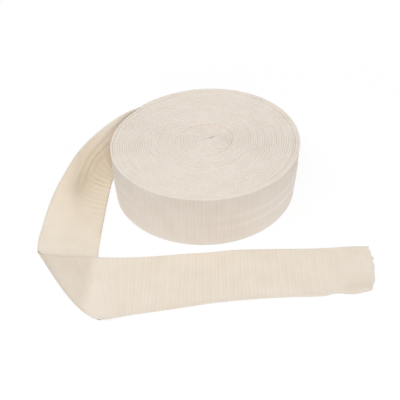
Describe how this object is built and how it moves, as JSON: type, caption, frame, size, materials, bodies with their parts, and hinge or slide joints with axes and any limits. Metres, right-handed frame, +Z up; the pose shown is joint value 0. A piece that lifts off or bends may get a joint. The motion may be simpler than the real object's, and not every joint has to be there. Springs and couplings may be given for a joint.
{
  "type": "tubular bandage roll",
  "caption": "Wound roll of flat knitted tubular bandage lying on its side, its loose end drawn out, folded over once and laid along the front.",
  "frame": {"origin": "on the axis of the roll, in the plane of the flat base that it lies on", "axes": "+Z up along the axis of the roll; +X to the right along the loose end's front strip, towards its cut end; -Y towards the front strip"},
  "size_m": [0.2424, 0.2124, 0.045],
  "materials": {
    "knitted_cotton": "matt unbleached cotton knit with fine crosswise ribs"
  },
  "bodies": {
    "root": {"wound_roll": "knitted_cotton", "loose_end": "knitted_cotton"}
  },
  "joints": []
}
